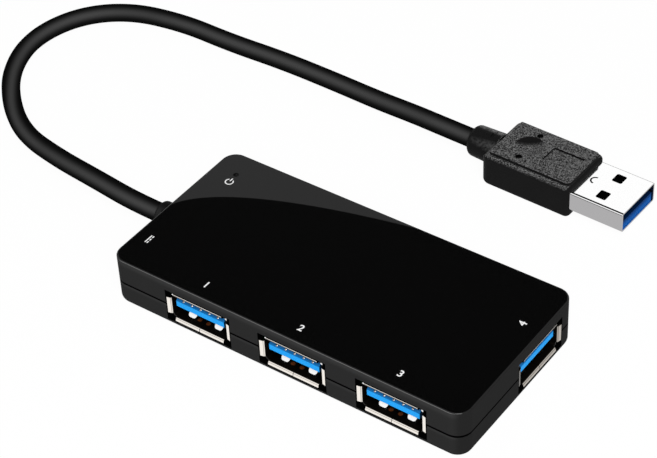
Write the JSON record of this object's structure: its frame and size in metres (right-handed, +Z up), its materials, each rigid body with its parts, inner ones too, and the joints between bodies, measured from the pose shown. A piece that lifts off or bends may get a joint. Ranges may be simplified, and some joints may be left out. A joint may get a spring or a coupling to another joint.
{
  "type": "usb hub",
  "caption": "Slim black hub: two-shell casing with rectangular sockets along its front and end, and a short captive cord that ends in a plug.",
  "frame": {"origin": "centre of the casing's flat underside, on the surface it stands on", "axes": "+X along the casing from the cord's end to the fourth socket, +Z up; sockets 1 to 3 open towards -Y"},
  "size_m": [0.148, 0.0799, 0.0109],
  "materials": {
    "casing_gloss": "black, polished top face, satin sides",
    "casing_satin": "black, fine satin texture",
    "board": "green solder mask",
    "chip_package": "moulded black package",
    "plated_can": "nickel-plated can",
    "tantalum_case": "moulded yellow-ochre case",
    "ceramic": "tan ceramic with tinned ends",
    "led_lens": "clear lens",
    "inlet_plastic": "black moulded plastic",
    "contact_gold": "gold-flashed contact strip",
    "plated_steel": "nickel-plated sheet",
    "socket_blue": "bright blue moulded plastic",
    "plug_moulding": "black, spark-eroded texture",
    "inner_moulding": "natural hot-melt moulding",
    "wire_insulation": "coloured insulation",
    "cord_jacket": "black, soft satin jacket"
  },
  "bodies": {
    "root": {"bulk_capacitors": "tantalum_case", "cable_wires": "wire_insulation", "ceramic_capacitors": "ceramic", "chip_resistors": "chip_package", "circuit_board": "board", "clock_crystal": "plated_can", "cord": "cord_jacket", "cord_inner_end": "cord_jacket", "dc_jack_body": "inlet_plastic", "dc_jack_pin": "contact_gold", "dc_jack_spring": "contact_gold", "hub_controller_chip": "chip_package", "lower_shell": "casing_satin", "plug_data_contacts": "contact_gold", "plug_inner_mould": "inner_moulding", "plug_insulator": "socket_blue", "plug_overmould": "plug_moulding", "plug_power_contacts": "contact_gold", "plug_shell": "plated_steel", "power_led": "led_lens", "socket_1_data_contacts": "contact_gold", "socket_1_insulator": "socket_blue", "socket_1_power_contacts": "contact_gold", "socket_1_shell": "plated_steel", "socket_2_data_contacts": "contact_gold", "socket_2_insulator": "socket_blue", "socket_2_power_contacts": "contact_gold", "socket_2_shell": "plated_steel", "socket_3_data_contacts": "contact_gold", "socket_3_insulator": "socket_blue", "socket_3_power_contacts": "contact_gold", "socket_3_shell": "plated_steel", "socket_4_data_contacts": "contact_gold", "socket_4_insulator": "socket_blue", "socket_4_power_contacts": "contact_gold", "socket_4_shell": "plated_steel", "strain_relief": "cord_jacket", "upper_shell": "casing_gloss", "voltage_regulator": "chip_package"}
  },
  "joints": []
}
